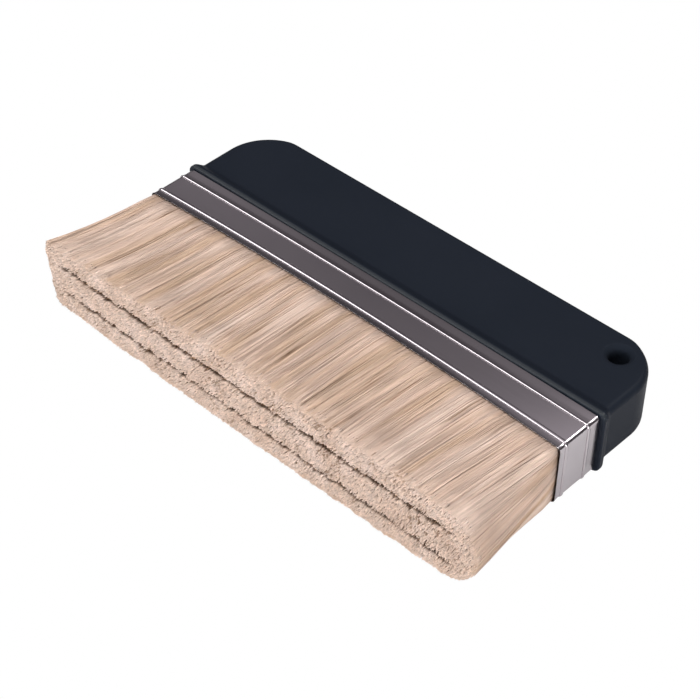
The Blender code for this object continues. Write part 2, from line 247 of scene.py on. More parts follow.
def bead_profile(index, steps=18):
    """(y, height) points over one rolled bead, from its front to its rear."""
    turns = [math.pi * step / steps for step in range(steps + 1)]
    place, half_width = BEAD_PLACES[index], BEAD_HALF_WIDTHS[index]
    return [(place - half_width * math.cos(turn), BEAD_HEIGHT * math.sin(turn)) for turn in turns]


def mesh_from_loops(name, loops, ring=False):
    """A closed mesh through loops of brush coordinates in mm. Its two ends are capped, or meet as a ring."""
    shape = bmesh.new()
    rows = [[shape.verts.new(Vector(point) * MM + BRUSH_ORIGIN) for point in loop] for loop in loops]
    count = len(rows[0])
    for index in range(len(rows) if ring else len(rows) - 1):
        here, there = rows[index], rows[(index + 1) % len(rows)]
        for k in range(count):
            after = (k + 1) % count
            shape.faces.new((here[k], here[after], there[after], there[k]))
    if not ring:
        shape.faces.new(rows[0])
        shape.faces.new(rows[-1])
    bmesh.ops.recalc_face_normals(shape, faces=shape.faces)
    mesh = bpy.data.meshes.new(name)
    shape.to_mesh(mesh)
    shape.free()
    mesh.shade_smooth()
    return mesh


def add_object(name, mesh, material):
    piece = bpy.data.objects.new(name, mesh)
    mesh.materials.clear()
    mesh.materials.append(material)
    scene.collection.objects.link(piece)
    return piece


def settle(piece):
    """Turns a piece's modifiers into plain mesh."""
    depsgraph = bpy.context.evaluated_depsgraph_get()
    mesh = bpy.data.meshes.new_from_object(piece.evaluated_get(depsgraph), depsgraph=depsgraph)
    mesh.name = piece.name
    piece.modifiers.clear()
    piece.data = mesh
    return piece


def weighted_normals(piece):
    piece.data.set_sharp_from_angle(angle=math.radians(40))
    modifier = piece.modifiers.new("even_shading", "WEIGHTED_NORMAL")
    modifier.keep_sharp = True
    return settle(piece)


def lip_share(back):
    """How far the lip stands out, as a share, at a distance behind its front face."""
    if back < LIP_ROUND:
        return LIP_FRONT_SHARE + (1 - LIP_FRONT_SHARE) * math.sqrt(1 - (1 - back / LIP_ROUND) ** 2)
    if back < LIP_CREST:
        return 1.0
    return (0.5 + 0.5 * math.cos(math.pi * min((back - LIP_CREST) / LIP_FALL, 1))) ** 1.25


def handle_loops():
    """Sections of the handle: its tenon, the tenon's rib, the lip, and the body to its rounded back edge."""
    inside = -SHEET - TENON_CLEARANCE
    loops = [ferrule_loop(TENON_FRONT, inside)]
    loops += [ferrule_loop(y, inside + height) for y, height in bead_profile(1)]
    loops.append(ferrule_loop(LIP_FRONT, inside))
    backs = [LIP_ROUND * (1 - math.cos(math.radians(90 * step / 6))) for step in range(7)]
    backs += [LIP_CREST + LIP_FALL * step / 14 for step in range(15)]
    for back in backs:
        share = lip_share(back)
        width = HANDLE_HALF_WIDTH + share * LIP_SIDEWAYS
        height = HANDLE_HALF_THICKNESS + share * LIP_UPWARDS
        loops.append([(x, LIP_FRONT + back, z) for x, z in outline(width, height, HANDLE_SECTION_CORNER)])
    corner_start = HANDLE_BACK - HANDLE_PLAN_CORNER
    edge_start = HANDLE_BACK - HANDLE_BACK_EDGE
    turns = [math.radians(90 * step / 36) for step in range(37)]
    places = {round(corner_start + HANDLE_PLAN_CORNER * math.sin(turn), 2) for turn in turns}
    places |= {round(edge_start + HANDLE_BACK_EDGE * math.sin(turn), 2) for turn in turns[::3]}
    for y in sorted(places):
        into_corner = max(y - corner_start, 0)
        into_edge = max(y - edge_start, 0)
        chord = math.sqrt(max(HANDLE_PLAN_CORNER**2 - into_corner**2, 0))
        width = HANDLE_HALF_WIDTH - HANDLE_PLAN_CORNER + chord
        chord = math.sqrt(max(HANDLE_BACK_EDGE**2 - into_edge**2, 0))
        height = HANDLE_HALF_THICKNESS - HANDLE_BACK_EDGE + chord
        loops.append([(x, y, z) for x, z in outline(width, height, HANDLE_SECTION_CORNER)])
    return loops


def hole_cutter_mesh(steps=96, rim_steps=12):
    """The hang hole as a solid: a bore that flares by a quarter circle at both faces of the handle."""
    face = HANDLE_HALF_THICKNESS
    profile = [(HOLE_RADIUS + HOLE_RIM, face + 2)]
    for step in range(rim_steps + 1):
        turn = math.radians(90 * step / rim_steps)
        radius = HOLE_RADIUS + HOLE_RIM * (1 - math.sin(turn))
        profile.append((radius, face - HOLE_RIM * (1 - math.cos(turn))))
    profile += [(radius, -z) for radius, z in reversed(profile)]
    centre_x, centre_y = HANDLE_HALF_WIDTH - HOLE_FROM_SIDE, HANDLE_BACK - HOLE_FROM_BACK
    loops = []
    for radius, z in profile:
        turns = [2 * math.pi * step / steps for step in range(steps)]
        loops.append([(centre_x + radius * math.cos(t), centre_y + radius * math.sin(t), z) for t in turns])
    return mesh_from_loops("hole_cutter", loops)


black_plastic, tree, shader = new_material("black_satin_plastic")
place = add_node(tree, "ShaderNodeTexCoord").outputs["Object"]
grain = add_node(tree, "ShaderNodeTexNoise", {"Vector": place}, {"Scale": 2600, "Detail": 2.0})
cloud = add_node(tree, "ShaderNodeTexNoise", {"Vector": place}, {"Scale": 26, "Detail": 3.0})
tone = add_node(tree, "ShaderNodeMix", {"Factor": cloud.outputs["Fac"]}, data_type="RGBA")
tone.inputs["A"].default_value = (0.0078, 0.0106, 0.0158, 1)
tone.inputs["B"].default_value = (0.0108, 0.0136, 0.0198, 1)
y_place = add_node(tree, "ShaderNodeSeparateXYZ", {"Vector": place}).outputs["Y"]
polish_and_highlight_span = {
    "From Min": BRUSH_ORIGIN.y + (LIP_FRONT + LIP_POLISH_AND_HIGHLIGHT_FROM) * MM,
    "From Max": BRUSH_ORIGIN.y + (LIP_FRONT + LIP_POLISH_AND_HIGHLIGHT_FROM + LIP_POLISH_AND_HIGHLIGHT_FADE) * MM,
}
satin = add_node(  # the lip's edge is polished by use
    tree, "ShaderNodeMapRange", {"Value": y_place}, {**polish_and_highlight_span, "To Min": 0.12, "To Max": 0.44}
)
# Painted highlight: where the lip's edge faces up, its base colour is lightened towards a pale grey.
facing = add_node(tree, "ShaderNodeNewGeometry").outputs["Normal"]
facing_up = add_node(tree, "ShaderNodeSeparateXYZ", {"Vector": facing}).outputs["Z"]
lip_highlight_band = add_node(tree, "ShaderNodeMapRange", {"Value": y_place}, {**polish_and_highlight_span, "To Min": 1.0, "To Max": 0.0})
painted_lip_highlight = add_node(tree, "ShaderNodeMath", {0: facing_up, 1: lip_highlight_band.outputs["Result"]}, operation="MULTIPLY")
painted_lip_highlight.use_clamp = True
tone = add_node(
    tree, "ShaderNodeMix", {"Factor": painted_lip_highlight.outputs["Value"], "A": tone.outputs["Result"]}, data_type="RGBA"
)
tone.inputs["B"].default_value = (0.030, 0.034, 0.038, 1)
hole_place = Vector((HANDLE_HALF_WIDTH - HOLE_FROM_SIDE, HANDLE_BACK - HOLE_FROM_BACK, 0)) * MM + BRUSH_ORIGIN
flat_place = add_node(tree, "ShaderNodeVectorMath", {0: place}, {1: (1, 1, 0)}, operation="MULTIPLY")
hole_offset = add_node(tree, "ShaderNodeVectorMath", {0: flat_place.outputs["Vector"]}, operation="DISTANCE")
hole_offset.inputs[1].default_value = (hole_place.x, hole_place.y, 0)
satin = add_node(
    tree,
    "ShaderNodeMapRange",
    {"Value": hole_offset.outputs["Value"], "To Max": satin.outputs["Result"]},
    {"From Min": (HOLE_RADIUS + HOLE_DULL) * MM, "From Max": (HOLE_RADIUS + HOLE_SATIN) * MM, "To Min": 0.9},
)
bump = add_node(
    tree, "ShaderNodeBump", {"Height": grain.outputs["Fac"]}, {"Strength": 0.12, "Distance": 0.0002}
)
tree.links.new(tone.outputs["Result"], shader.inputs["Base Color"])
tree.links.new(satin.outputs["Result"], shader.inputs["Roughness"])
shader.inputs["Specular IOR Level"].default_value = 0.07
tree.links.new(bump.outputs["Normal"], shader.inputs["Normal"])

handle = add_object("handle_moulding", mesh_from_loops("handle_moulding", handle_loops()), black_plastic)
cutter = add_object("hole_cutter", hole_cutter_mesh(), black_plastic)
cut = handle.modifiers.new("hang_hole", "BOOLEAN")
cut.operation, cut.solver, cut.object = "DIFFERENCE", "EXACT", cutter
settle(handle)
bpy.data.objects.remove(cutter)
weighted_normals(handle)
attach(handle, "brush_body")
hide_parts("handle")

# ---------------------------------------------------------------------------------------------------------
# Ferrule: one strip of bright sheet metal rolled into a flat tube, with a bead pressed near each edge. The
# packed bristles bow its mouth outwards, and its rear bead grips the handle's tenon.
# ---------------------------------------------------------------------------------------------------------
MOUTH_HEM, REAR_HEM = 0.06, SHEET / 2
REAR_SKIRT = [(20.6, 0.13), (21.3, 0.07), (22.2, 0.02), (22.8, 0), (25, 0)]  # behind the rear bead
MOUTH_FLARE, MOUTH_FLARE_DEPTH = 0.35, 3.6


def rounded_edge(radius, base):
    """(distance behind the edge, height) points round a sheet's edge, from its inner to its outer face."""
    turns = [math.radians(turn) for turn in range(180, -1, -30)]
    return [(radius - radius * math.sin(turn), base - radius + radius * math.cos(turn)) for turn in turns]


def mouth_flare(y):
    """How far the mouth opens out in front of its bead."""
    return MOUTH_FLARE * max(1 - y / MOUTH_FLARE_DEPTH, 0) ** 2


def ferrule_loops():
    """Outlines round the sheet: its outer face from the mouth to the rear, and back along its inner face."""
    front = rounded_edge(MOUTH_HEM, MOUTH_FLARE)
    lips = [(y, mouth_flare(y)) for y in (0.4, 0.9, 1.5, 2.2, 3.0)]
    beads = bead_profile(0) + [(8, 0), (12, 0), (16, 0)] + bead_profile(1)[:-2] + REAR_SKIRT
    rear = [(FERRULE_DEPTH - y, grow) for y, grow in reversed(rounded_edge(REAR_HEM, 0))]
    inside = [(y, grow - SHEET) for y, grow in reversed(beads)] + [(2.0, -SHEET)]
    return [ferrule_loop(y, grow) for y, grow in front + lips + beads + rear + inside]


plated_metal, tree, shader = new_material("plated_sheet_metal")
place = add_node(tree, "ShaderNodeTexCoord").outputs["Object"]
rolled = add_node(tree, "ShaderNodeMapping", {"Vector": place}, {"Scale": (6, 900, 900)})
rolled = rolled.outputs["Vector"]
lines = add_node(tree, "ShaderNodeTexNoise", {"Vector": rolled}, {"Scale": 1.0, "Detail": 3.0}).outputs["Fac"]
cloud = add_node(tree, "ShaderNodeTexNoise", {"Vector": place}, {"Scale": 40, "Detail": 4.0})
tone = add_node(tree, "ShaderNodeMix", {"Factor": cloud.outputs["Fac"]}, data_type="RGBA")
tone.inputs["A"].default_value = (0.52, 0.48, 0.50, 1)
tone.inputs["B"].default_value = (0.61, 0.57, 0.585, 1)
gloss = add_node(tree, "ShaderNodeMapRange", {"Value": lines}, {"To Min": 0.17, "To Max": 0.24})
bump = add_node(tree, "ShaderNodeBump", {"Height": lines}, {"Strength": 0.0015, "Distance": 0.0002})
shader.inputs["Metallic"].default_value = 1.0
tree.links.new(tone.outputs["Result"], shader.inputs["Base Color"])
tree.links.new(gloss.outputs["Result"], shader.inputs["Roughness"])
tree.links.new(bump.outputs["Normal"], shader.inputs["Normal"])

ferrule_mesh = mesh_from_loops("ferrule_sheet", ferrule_loops(), ring=True)
ferrule = add_object("ferrule_sheet", ferrule_mesh, plated_metal)
weighted_normals(ferrule)
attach(ferrule, "brush_body")
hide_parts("ferrule")

# ---------------------------------------------------------------------------------------------------------
# Resin heel and filler strips: amber resin cast round the bristles' butt ends, and two pale wooden strips
# set in it that part the rows. The bristles hide all three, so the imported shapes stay.
# ---------------------------------------------------------------------------------------------------------
amber_resin, tree, shader = new_material("amber_resin")
place = add_node(tree, "ShaderNodeTexCoord").outputs["Object"]
flow = add_node(
    tree, "ShaderNodeTexNoise", {"Vector": place}, {"Scale": 90, "Detail": 4.0, "Distortion": 1.0}
)
tone = add_node(tree, "ShaderNodeMix", {"Factor": flow.outputs["Fac"]}, data_type="RGBA")
tone.inputs["A"].default_value = (0.30, 0.15, 0.04, 1)
tone.inputs["B"].default_value = (0.50, 0.30, 0.11, 1)
shader.inputs["Roughness"].default_value = 0.32
tree.links.new(tone.outputs["Result"], shader.inputs["Base Color"])

pale_wood, tree, shader = new_material("pale_wood")
place = add_node(tree, "ShaderNodeTexCoord").outputs["Object"]
lengthways = add_node(tree, "ShaderNodeMapping", {"Vector": place}, {"Scale": (12, 700, 700)})
lengthways = lengthways.outputs["Vector"]
grain = add_node(tree, "ShaderNodeTexNoise", {"Vector": lengthways}, {"Scale": 1, "Detail": 5})
tone = add_node(tree, "ShaderNodeMix", {"Factor": grain.outputs["Fac"]}, data_type="RGBA")
tone.inputs["A"].default_value = (0.48, 0.33, 0.19, 1)
tone.inputs["B"].default_value = (0.72, 0.55, 0.37, 1)
shader.inputs["Roughness"].default_value = 0.65
tree.links.new(tone.outputs["Result"], shader.inputs["Base Color"])

for node_name, material in (
    ("resin_heel", amber_resin),
    ("filler_strip_upper", pale_wood),
    ("filler_strip_lower", pale_wood),
):
    node_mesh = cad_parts[node_name].data
    node_mesh.materials.clear()
    node_mesh.materials.append(material)

# ---------------------------------------------------------------------------------------------------------
# Bristle rows: hog bristle in three rows that merge past the strips' ends. Each row is a packed core, a skin
# of whole bristles where it shows, and the cut ends that fill its tip face. The resin holds all of them.
# ---------------------------------------------------------------------------------------------------------
PACK_HALF_WIDTH = (root_high.x - root_low.x) / 2 / MM
ROOT_Y, TIP_Y = 3.0, -62.0
ROOT_TOP, ROOT_BOTTOM = 15.2, -15.2
ROOT_SLITS = {"upper": (4.2, 7.4), "lower": (-7.4, -4.2)}
TIP_LINES = {  # a line's height in the middle, its tilt and its bend
    "top": (19.5, 0.0, -3.3),
    "upper_slit": (6.5, -1.5, 1.0),
    "lower_slit": (-9.0, -3.2, 0.3),
    "bottom": (-19.5, -2.6, 2.5),
}
TIP_SLITS = {"upper_slit": 2.7, "lower_slit": 2.1}  # widths
TABLE_AT = -19.75  # where the lowest bristles rest
MERGE_FROM, MERGE_TO = 0.905, 0.955  # shares of the half width, between which a slit closes
RIGHT_END = (  # the tips' outline from the front, as (height, distance from the middle)
    (-21, 118.5), (-19, 123.5), (-15, 128), (-9, 131.6), (1, 131.8), (8, 129), (12, 125.5), (15, 121.5),
    (17, 117.5),
)
LEFT_END = ((-19, -127.5), (-14, -128.2), (-6, -130), (1, -131.2), (13, -133.8), (16, -133.4), (18, -131.7))
FLARE_POWERS = (2.3, 0.95)
LEAN, FAN_POWER = 1.0, 1.5
ROUNDING, ROUNDING_DEPTH = 2.0, 1.6
RAGGED_STEP, RAGGED = 2.4, 0.75
SLIT_WANDER, SLIT_SHADE_DEPTH = 0.9, 1.6
ROWS = ("upper", "middle", "lower")


def merging(u):
    """0 where a strip parts two rows, 1 past the strip's end where they are one."""
    share = np.clip((np.abs(u) - MERGE_FROM) / (MERGE_TO - MERGE_FROM), 0, 1)
    return share * share * (3 - 2 * share)


def tip_line(name, u):
    middle, tilt, bend = TIP_LINES[name]
    return middle + tilt * u + bend * u**2


def ragged(seed, u):
    """A small uneven wander along the brush, the same for the same seed."""
    knots = np.arange(-1, 1.001, RAGGED_STEP / PACK_HALF_WIDTH)
    return np.interp(u, knots, np.random.default_rng(seed).uniform(-RAGGED, RAGGED, len(knots)))


def row_section(word, u, at_tip):
    """Heights of a row's underside and top, at its tips or at its roots."""
    merge = merging(u)
    if at_tip:
        top, bottom = tip_line("top", u), np.maximum(tip_line("bottom", u) + ragged(1, u) / 2, TABLE_AT)
        slits = []
        for seed, name in ((2, "upper_slit"), (4, "lower_slit")):
            middle, half_slit = tip_line(name, u) + SLIT_WANDER * ragged(seed + 10, u), TIP_SLITS[name] / 2
            open_share = 1 - merge
            slits.append((
                middle - (half_slit + ragged(seed, u)) * open_share,
                middle + (half_slit + ragged(seed + 1, u)) * open_share,
            ))
    else:
        swell = 1 - (u * PACK_HALF_WIDTH / FERRULE_HALF_WIDTH) ** 2
        top, bottom = ROOT_TOP + swell * MOUTH_BOW_UP, ROOT_BOTTOM - swell * MOUTH_BOW_DOWN
        slits = []
        for low, high in (ROOT_SLITS["upper"], ROOT_SLITS["lower"]):
            middle = (low + high) / 2
            slits.append((low + (middle - low) * merge, high + (middle - high) * merge))
    if word == "upper":
        return slits[0][1], top
    if word == "middle":
        return slits[1][1], slits[0][0]
    return bottom, slits[1][0]


def row_points(word, u, v):
    """(root, tip) of the bristles at u, -1 at the left to 1, and v, 0 at the row's underside to 1."""
    u, v = np.asarray(u, float), np.asarray(v, float)
    low, high = row_section(word, u, False)
    root = np.stack([u * PACK_HALF_WIDTH, np.full_like(u, ROOT_Y), low + (high - low) * v], -1)
    low, high = row_section(word, u, True)
    z = low + (high - low) * v
    right = np.interp(z, [p[0] for p in RIGHT_END], [p[1] for p in RIGHT_END])
    left = np.interp(z, [p[0] for p in LEFT_END], [p[1] for p in LEFT_END])
    fan_right = (right - PACK_HALF_WIDTH) * np.maximum(u, 0) ** FAN_POWER
    fan_left = (left + PACK_HALF_WIDTH) * np.maximum(-u, 0) ** FAN_POWER
    x = u * PACK_HALF_WIDTH + fan_right + fan_left - LEAN * (1 - u**4)
    from_edge = np.minimum(tip_line("top", u) - z, PACK_HALF_WIDTH * (1 - np.abs(u)))
    y = TIP_Y + ROUNDING * np.exp(-np.maximum(from_edge, 0) / ROUNDING_DEPTH)
    tip = np.stack([x, y, z], -1)
    return root, tip


def near_slit(word, u, v):
    """1 for the bristles beside a slit, and falling to 0 away from it: the weight of the painted shade down
    in the slits.
    """
    low, high = row_section(word, u, True)
    above, below = (high - low) * (1 - v), (high - low) * v
    away = {"upper": below, "middle": np.minimum(above, below), "lower": above}[word]
    return np.exp(-((away / SLIT_SHADE_DEPTH) ** 2)) * (1 - merging(u))


def flare_power(u):
    """How late the bristles spread sideways on their way out, from the left end to the right."""
    return np.interp(u, (-1, 1), FLARE_POWERS)


def grid_patch(word, us, vs, inward):
    """Part of a row's tip face as (points, faces, roots, inward directions, (closeness to a slit, flare))."""
    u, v = np.meshgrid(us, vs, indexing="ij")
    root, tip = row_points(word, u.ravel(), v.ravel())
    columns = len(vs)
    faces = [
        (i * columns + j, (i + 1) * columns + j, (i + 1) * columns + j + 1, i * columns + j + 1)
        for i in range(len(us) - 1)
        for j in range(columns - 1)
    ]
    shapes = np.column_stack([near_slit(word, u.ravel(), v.ravel()), flare_power(u.ravel())])
    return tip, faces, root, np.tile(inward, (len(tip), 1)), shapes


def patch_object(name, patches):
    """A mesh of tip patches whose points know where their bristle's root is."""
    points, faces, roots, inwards, shapes = [], [], [], [], []
    for tip, patch_faces, root, inward, shape in patches:
        start = sum(len(p) for p in points)
        faces += [tuple(start + k for k in face) for face in patch_faces]
        points.append(tip)
        roots.append(root)
        inwards.append(inward)
        shapes.append(shape)
    origin = np.array(BRUSH_ORIGIN)
    mesh = bpy.data.meshes.new(name)
    mesh.from_pydata((np.concatenate(points) * MM + origin).tolist(), [], faces)
    for key, values in (("root", np.concatenate(roots) * MM + origin), ("inward", np.concatenate(inwards))):
        attribute = mesh.attributes.new(key, "FLOAT_VECTOR", "POINT")
        attribute.data.foreach_set("vector", values.astype(np.float32).ravel())
    for key, values in zip(("slit", "flare"), np.concatenate(shapes).T):
        attribute = mesh.attributes.new(key, "FLOAT", "POINT")
        attribute.data.foreach_set("value", values.astype(np.float32))
    piece = bpy.data.objects.new(name, mesh)
    scene.collection.objects.link(piece)
    return piece


BRISTLE_INPUTS = (
    ("Bristles per square metre", "NodeSocketFloat", 3e6),
    ("Seed", "NodeSocketInt", 1),
    ("Radius", "NodeSocketFloat", 0.0003),
    ("Segments", "NodeSocketInt", 6),
    ("Share of length", "NodeSocketFloat", 1.0),
    ("Stray at tip", "NodeSocketFloat", 0.0006),
    ("Uneven length", "NodeSocketFloat", 0.0006),
    ("Hank pull", "NodeSocketFloat", 0.25),
    ("Hanks per metre", "NodeSocketFloat", 260.0),
    ("Crevice depth", "NodeSocketFloat", 0.00025),
    ("Bulge", "NodeSocketFloat", 0.0011),
    ("Material", "NodeSocketMaterial", None),
)
LENGTH_WAVES_PER_METRE = 150.0
WAVES, WAVE_SIZE = (220.0, 2.0), (0.0016, 0.0, 0.0006)  # waves per metre across and per bristle length
CREVICES, CREVICE_STRETCHES = (260.0, 0.6), (110.0, 2.6)
SLIT_DARK_TO = 0.97  # the share of a bristle's length, from which its painted slit shade fades towards its tip
CELL_MARGIN = 0.05


def bristle_tree():
    """Geometry nodes that plant whole bristles on a tip patch and lead each back to its root."""
    tree = bpy.data.node_groups.new("bristle_row", "GeometryNodeTree")
    tree.is_modifier = True
    tree.interface.new_socket("Geometry", in_out="INPUT", socket_type="NodeSocketGeometry")
    for name, kind, value in BRISTLE_INPUTS:
        socket = tree.interface.new_socket(name, in_out="INPUT", socket_type=kind)
        if value is not None:
            socket.default_value = value
    tree.interface.new_socket("Geometry", in_out="OUTPUT", socket_type="NodeSocketGeometry")
    given = add_node(tree, "NodeGroupInput").outputs
    result = add_node(tree, "NodeGroupOutput")

    def named(name, kind):
        node = add_node(tree, "GeometryNodeInputNamedAttribute", values={"Name": name}, data_type=kind)
        return node.outputs[0]

    def store(geometry, name, value, kind, domain="POINT"):
        node = add_node(tree, "GeometryNodeStoreNamedAttribute", {"Geometry": geometry}, {"Name": name},
                        data_type=kind, domain=domain)
        tree.links.new(value, node.inputs["Value"])
        return node.outputs["Geometry"]

    def maths(operation, a, b=None, c=None):
        node = add_node(tree, "ShaderNodeMath", operation=operation)
        for index, value in enumerate((a, b, c)):
            if isinstance(value, (int, float)):
                node.inputs[index].default_value = value
            elif value is not None:
                tree.links.new(value, node.inputs[index])
        return node.outputs[0]

    def vectors(operation, a, b=None, scale=None):
        node = add_node(tree, "ShaderNodeVectorMath", operation=operation)
        for index, value in enumerate((a, b)):
            if isinstance(value, tuple):
                node.inputs[index].default_value = value
            elif value is not None:
                tree.links.new(value, node.inputs[index])
        if isinstance(scale, (int, float)):
            node.inputs["Scale"].default_value = scale
        elif scale is not None:
            tree.links.new(scale, node.inputs["Scale"])
        return node.outputs["Value" if operation in ("LENGTH", "DOT_PRODUCT") else "Vector"]

    def split(vector):
        return add_node(tree, "ShaderNodeSeparateXYZ", {"Vector": vector}).outputs

    def joined(x, y, z):
        node = add_node(tree, "ShaderNodeCombineXYZ")
        for index, value in enumerate((x, y, z)):
            if isinstance(value, (int, float)):
                node.inputs[index].default_value = value
            else:
                tree.links.new(value, node.inputs[index])
        return node.outputs["Vector"]

    def noise(vector, detail=1.0):
        return add_node(tree, "ShaderNodeTexNoise", {"Vector": vector}, {"Scale": 1.0, "Detail": detail})

    def random(kind, low, high, shift):
        seed = maths("ADD", given["Seed"], shift)
        node = add_node(tree, "FunctionNodeRandomValue", data_type=kind)
        inputs = [s for s in node.inputs if s.name in ("Min", "Max") and s.enabled]
        inputs[0].default_value, inputs[1].default_value = low, high
        tree.links.new(seed, node.inputs["Seed"])
        return next(s for s in node.outputs if s.enabled)

    # Where each bristle ends.
    planted = add_node(tree, "GeometryNodeDistributePointsOnFaces", {
        "Mesh": given["Geometry"], "Density": given["Bristles per square metre"], "Seed": given["Seed"],
    }).outputs["Points"]
    at = add_node(tree, "GeometryNodeInputPosition").outputs["Position"]
    hanks = add_node(tree, "ShaderNodeTexVoronoi", {"Vector": at, "Scale": given["Hanks per metre"]})
    towards = vectors("SUBTRACT", hanks.outputs["Position"], at)
    pulled = vectors("MULTIPLY", vectors("SCALE", towards, scale=given["Hank pull"]), (1, 0, 1))
    astray = random("FLOAT_VECTOR", (-1, 0, -1), (1, 0, 1), 11)
    strayed = vectors("SCALE", astray, scale=given["Stray at tip"])
    broad = noise(vectors("SCALE", at, scale=LENGTH_WAVES_PER_METRE), 2.0).outputs["Fac"]
    broad = maths("MULTIPLY", maths("SUBTRACT", broad, 0.5), 3.0)
    uneven = maths("ADD", broad, random("FLOAT", -0.6, 0.6, 12))
    longer = joined(0.0, maths("MULTIPLY", uneven, given["Uneven length"]), 0.0)
    tip = vectors("ADD", vectors("ADD", at, pulled), vectors("ADD", strayed, longer))
    points = store(planted, "tip", tip, "FLOAT_VECTOR")
    points = store(points, "shade", random("FLOAT", 0.0, 1.0, 13), "FLOAT")
    points = store(points, "turn", random("FLOAT", 0.0, math.tau, 14), "FLOAT")
    points = store(points, "number", add_node(tree, "GeometryNodeInputIndex").outputs["Index"], "INT")

    # One bristle, a slim three-sided cone, set down on every point.
    cone = add_node(tree, "GeometryNodeMeshCone", {"Side Segments": given["Segments"]}, {
        "Vertices": 3, "Fill Segments": 1, "Radius Top": 0.6, "Radius Bottom": 1.0, "Depth": 1.0,
    }, fill_type="NGON")
    bristle = store(cone.outputs["Mesh"], "across", at, "FLOAT_VECTOR")
    bristle = store(bristle, "cell", cone.outputs["UV Map"], "FLOAT2", "CORNER")
    planted = add_node(tree, "GeometryNodeInstanceOnPoints", {"Points": points, "Instance": bristle})
    made = add_node(tree, "GeometryNodeRealizeInstances", {"Geometry": planted.outputs["Instances"]})

    # Each bristle led from its tip back towards its root.
    root, tip, inward = (named(name, "FLOAT_VECTOR") for name in ("root", "tip", "inward"))
    across = split(named("across", "FLOAT_VECTOR"))
    back = maths("MULTIPLY", maths("SUBTRACT", 1.0, across["Z"]), given["Share of length"])
    along = maths("SUBTRACT", 1.0, back)
    root_at, tip_at = split(root), split(tip)
    lean = maths("POWER", along, named("flare", "FLOAT"))

    def between(axis, share):
        whole = maths("SUBTRACT", tip_at[axis], root_at[axis])
        return maths("ADD", root_at[axis], maths("MULTIPLY", whole, share))

    def stretched(per_metre, per_length):
        """A place in a noise that is stretched along the bristles."""
        return joined(maths("MULTIPLY", root_at["X"], per_metre), maths("MULTIPLY", along, per_length),
                      maths("MULTIPLY", root_at["Z"], per_metre))

    spine = joined(between("X", lean), between("Y", along), between("Z", along))
    wave = vectors("SUBTRACT", noise(stretched(*WAVES)).outputs["Color"], (0.5, 0.5, 0.5))
    wave = vectors("SCALE", vectors("MULTIPLY", wave, WAVE_SIZE), scale=along)

    # Thin crevices between the hanks, here and there, sunk inwards and stored for the material's painted
    # shade, and a swell where the bristles leave the ferrule.
    line = maths("ABSOLUTE", maths("SUBTRACT", noise(stretched(*CREVICES)).outputs["Fac"], 0.5))
    thin = add_node(tree, "ShaderNodeMapRange", {"Value": line}, {"From Min": 0.02, "From Max": 0.005})
    there = noise(stretched(*CREVICE_STRETCHES), 0.0).outputs["Fac"]
    here = add_node(tree, "ShaderNodeMapRange", {"Value": there}, {"From Min": 0.50, "From Max": 0.60})
    crevice = maths("MULTIPLY", thin.outputs["Result"], here.outputs["Result"])
    rise = add_node(tree, "ShaderNodeMapRange", {"Value": along}, {"From Min": 0.0, "From Max": 0.06},
                    interpolation_type="SMOOTHSTEP").outputs["Result"]
    fall = maths("SUBTRACT", 1.0, maths("POWER", along, 3.0))
    loose = maths("ADD", 0.65, maths("MULTIPLY", named("shade", "FLOAT"), 0.5))
    hump = maths("MULTIPLY", maths("MULTIPLY", rise, fall), loose)
    dip, swell = maths("MULTIPLY", crevice, given["Crevice depth"]), maths("MULTIPLY", hump, given["Bulge"])
    sink = vectors("SCALE", inward, scale=maths("SUBTRACT", dip, swell))
    turn = named("turn", "FLOAT")
    cosine, sine = maths("COSINE", turn), maths("SINE", turn)
    wide = maths("SUBTRACT", maths("MULTIPLY", across["X"], cosine), maths("MULTIPLY", across["Y"], sine))
    tall = maths("ADD", maths("MULTIPLY", across["X"], sine), maths("MULTIPLY", across["Y"], cosine))
    thick = vectors("SCALE", joined(wide, 0.0, tall), scale=given["Radius"])
    place = vectors("ADD", vectors("ADD", spine, wave), vectors("ADD", sink, thick))
    moved = add_node(
        tree, "GeometryNodeSetPosition", {"Geometry": made.outputs["Geometry"], "Position": place}
    )

    # What the material reads, among it the masks of its painted shade, and one cell of the surface map for
    # each bristle.
    geometry = moved.outputs["Geometry"]
    stored = store(geometry, "along", along, "FLOAT")
    stored = store(stored, "crevice", crevice, "FLOAT")
    shallow = add_node(tree, "ShaderNodeMapRange", {"Value": along}, {
        "From Min": SLIT_DARK_TO, "From Max": 1.0,
    })
    painted_slit_shade = maths("MULTIPLY", maths("SUBTRACT", 1.0, shallow.outputs["Result"]), named("slit", "FLOAT"))
    stored = store(stored, "painted_slit_shade", painted_slit_shade, "FLOAT")
    total = add_node(tree, "GeometryNodeAttributeDomainSize", {"Geometry": points}, component="POINTCLOUD")
    columns = maths("CEIL", maths("SQRT", total.outputs["Point Count"]))
    number = named("number", "INT")
    cell = split(named("cell", "FLOAT_VECTOR"))
    column = maths("MODULO", number, columns)
    line = maths("FLOOR", maths("DIVIDE", number, columns))
    inset_x = maths("ADD", maths("MULTIPLY", cell["X"], 1 - 2 * CELL_MARGIN), CELL_MARGIN)
    inset_y = maths("ADD", maths("MULTIPLY", cell["Y"], 1 - 2 * CELL_MARGIN), CELL_MARGIN)
    map_at = joined(maths("DIVIDE", maths("ADD", column, inset_x), columns),
                    maths("DIVIDE", maths("ADD", line, inset_y), columns), 0.0)
    stored = store(stored, "OFBake", map_at, "FLOAT2", "CORNER")
    smooth = add_node(tree, "GeometryNodeSetShadeSmooth", {"Geometry": stored})
    ended = add_node(tree, "GeometryNodeSetMaterial", {
        "Geometry": smooth.outputs["Geometry"], "Material": given["Material"],
    })
    tree.links.new(ended.outputs["Geometry"], result.inputs["Geometry"])
    return tree


